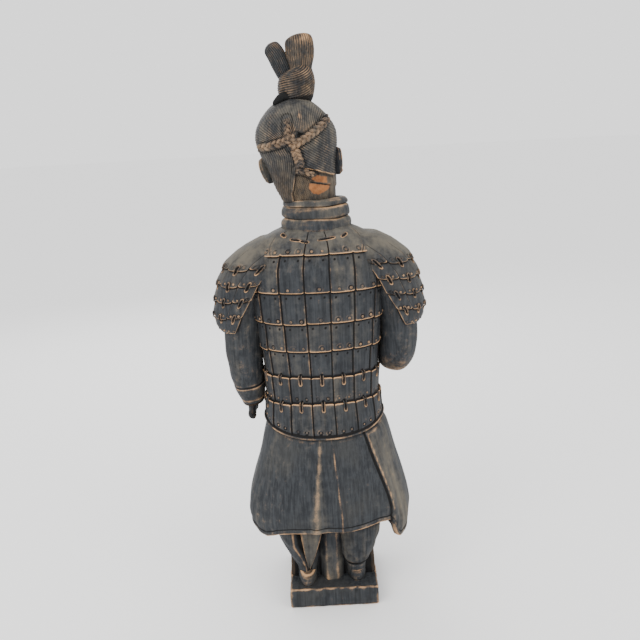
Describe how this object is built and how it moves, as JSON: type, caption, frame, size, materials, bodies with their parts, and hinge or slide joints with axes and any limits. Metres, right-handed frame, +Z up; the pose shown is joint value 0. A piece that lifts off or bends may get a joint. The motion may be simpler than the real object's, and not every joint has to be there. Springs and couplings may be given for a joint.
{
  "type": "armoured warrior statue",
  "caption": "Standing armoured figure in blue-grey patinated terracotta on a low square plinth, with plated coat, flared robe and a leaning head with braids and topknot.",
  "frame": {"origin": "centre of the plinth's flat underside", "axes": "+Z up, the figure faces -Y, +X is the figure's left"},
  "size_m": [0.3778, 0.2478, 1],
  "materials": {
    "patinated_clay": "fired clay under a matt blue-grey patina, rubbed tan on the edges",
    "patinated_clay_head": "fired clay under a matt grey patina, bare clay at the nape"
  },
  "bodies": {
    "root": {"body": "patinated_clay", "head": "patinated_clay_head"}
  },
  "joints": []
}
